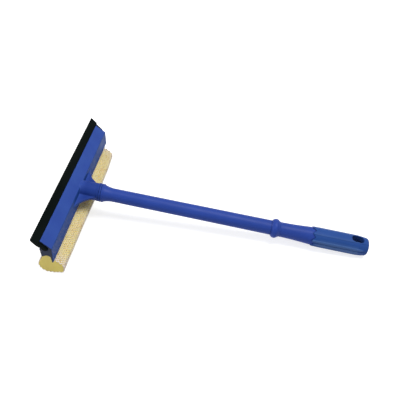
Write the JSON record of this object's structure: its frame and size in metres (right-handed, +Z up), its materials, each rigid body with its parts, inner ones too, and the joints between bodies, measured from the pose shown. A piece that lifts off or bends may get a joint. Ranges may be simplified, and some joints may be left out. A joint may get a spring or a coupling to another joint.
{
  "type": "windshield squeegee",
  "caption": "Hand squeegee for vehicle windshields with a rubber wiping blade, a netted sponge and a straight screwed-in handle with a hanging hole.",
  "frame": {"origin": "centre of the bottom of the bounding box, on the table that the squeegee lies on with its sponge and its grip", "axes": "+X along the handle towards the grip, which is tipped 4.5 degrees down to the table; +Y along the blade and the sponge; +Z up"},
  "size_m": [0.3566, 0.2026, 0.0599],
  "materials": {
    "moulded_blue": "satin",
    "grip_blue": "fine matt",
    "black_rubber": "matt",
    "golden_foam": "open-celled",
    "pale_net": "knitted",
    "white_nylon": "satin",
    "screw_steel": "bright"
  },
  "bodies": {
    "head": {"head_body": "moulded_blue", "sponge_foam": "golden_foam", "sponge_net": "pale_net", "sponge_clamp_strip": "white_nylon", "strip_screw_1": "screw_steel", "strip_screw_2": "screw_steel", "strip_screw_3": "screw_steel", "strip_screw_4": "screw_steel"},
    "blade": {"blade_rubber": "black_rubber"},
    "washer": {"seat_washer": "grip_blue"},
    "handle": {"threaded_stud": "white_nylon", "handle_tube": "moulded_blue", "guard_sleeve": "moulded_blue", "grip_upper_shell": "grip_blue", "grip_lower_shell": "grip_blue", "grip_screw_front": "screw_steel", "grip_screw_rear": "screw_steel"}
  },
  "joints": [
    {"name": "blade_slide", "type": "slide", "parent": "head", "child": "blade", "axis": [0, 1, 0], "range_m": [-0.19, 0.19]},
    {"name": "thread_travel", "type": "slide", "parent": "head", "child": "washer", "axis": [0.9968, 0, -0.0793], "range_m": [0, 0.012]},
    {"name": "handle_turn", "type": "hinge", "parent": "washer", "child": "handle", "pos_m": [-0.13559, 0, 0.03486], "axis": [0.9968, 0, -0.0793], "range_deg": [0, 1080]}
  ],
  "couplings": [
    {"joint": "handle_turn", "follows": "thread_travel", "rad_per_m": 1570.8}
  ]
}
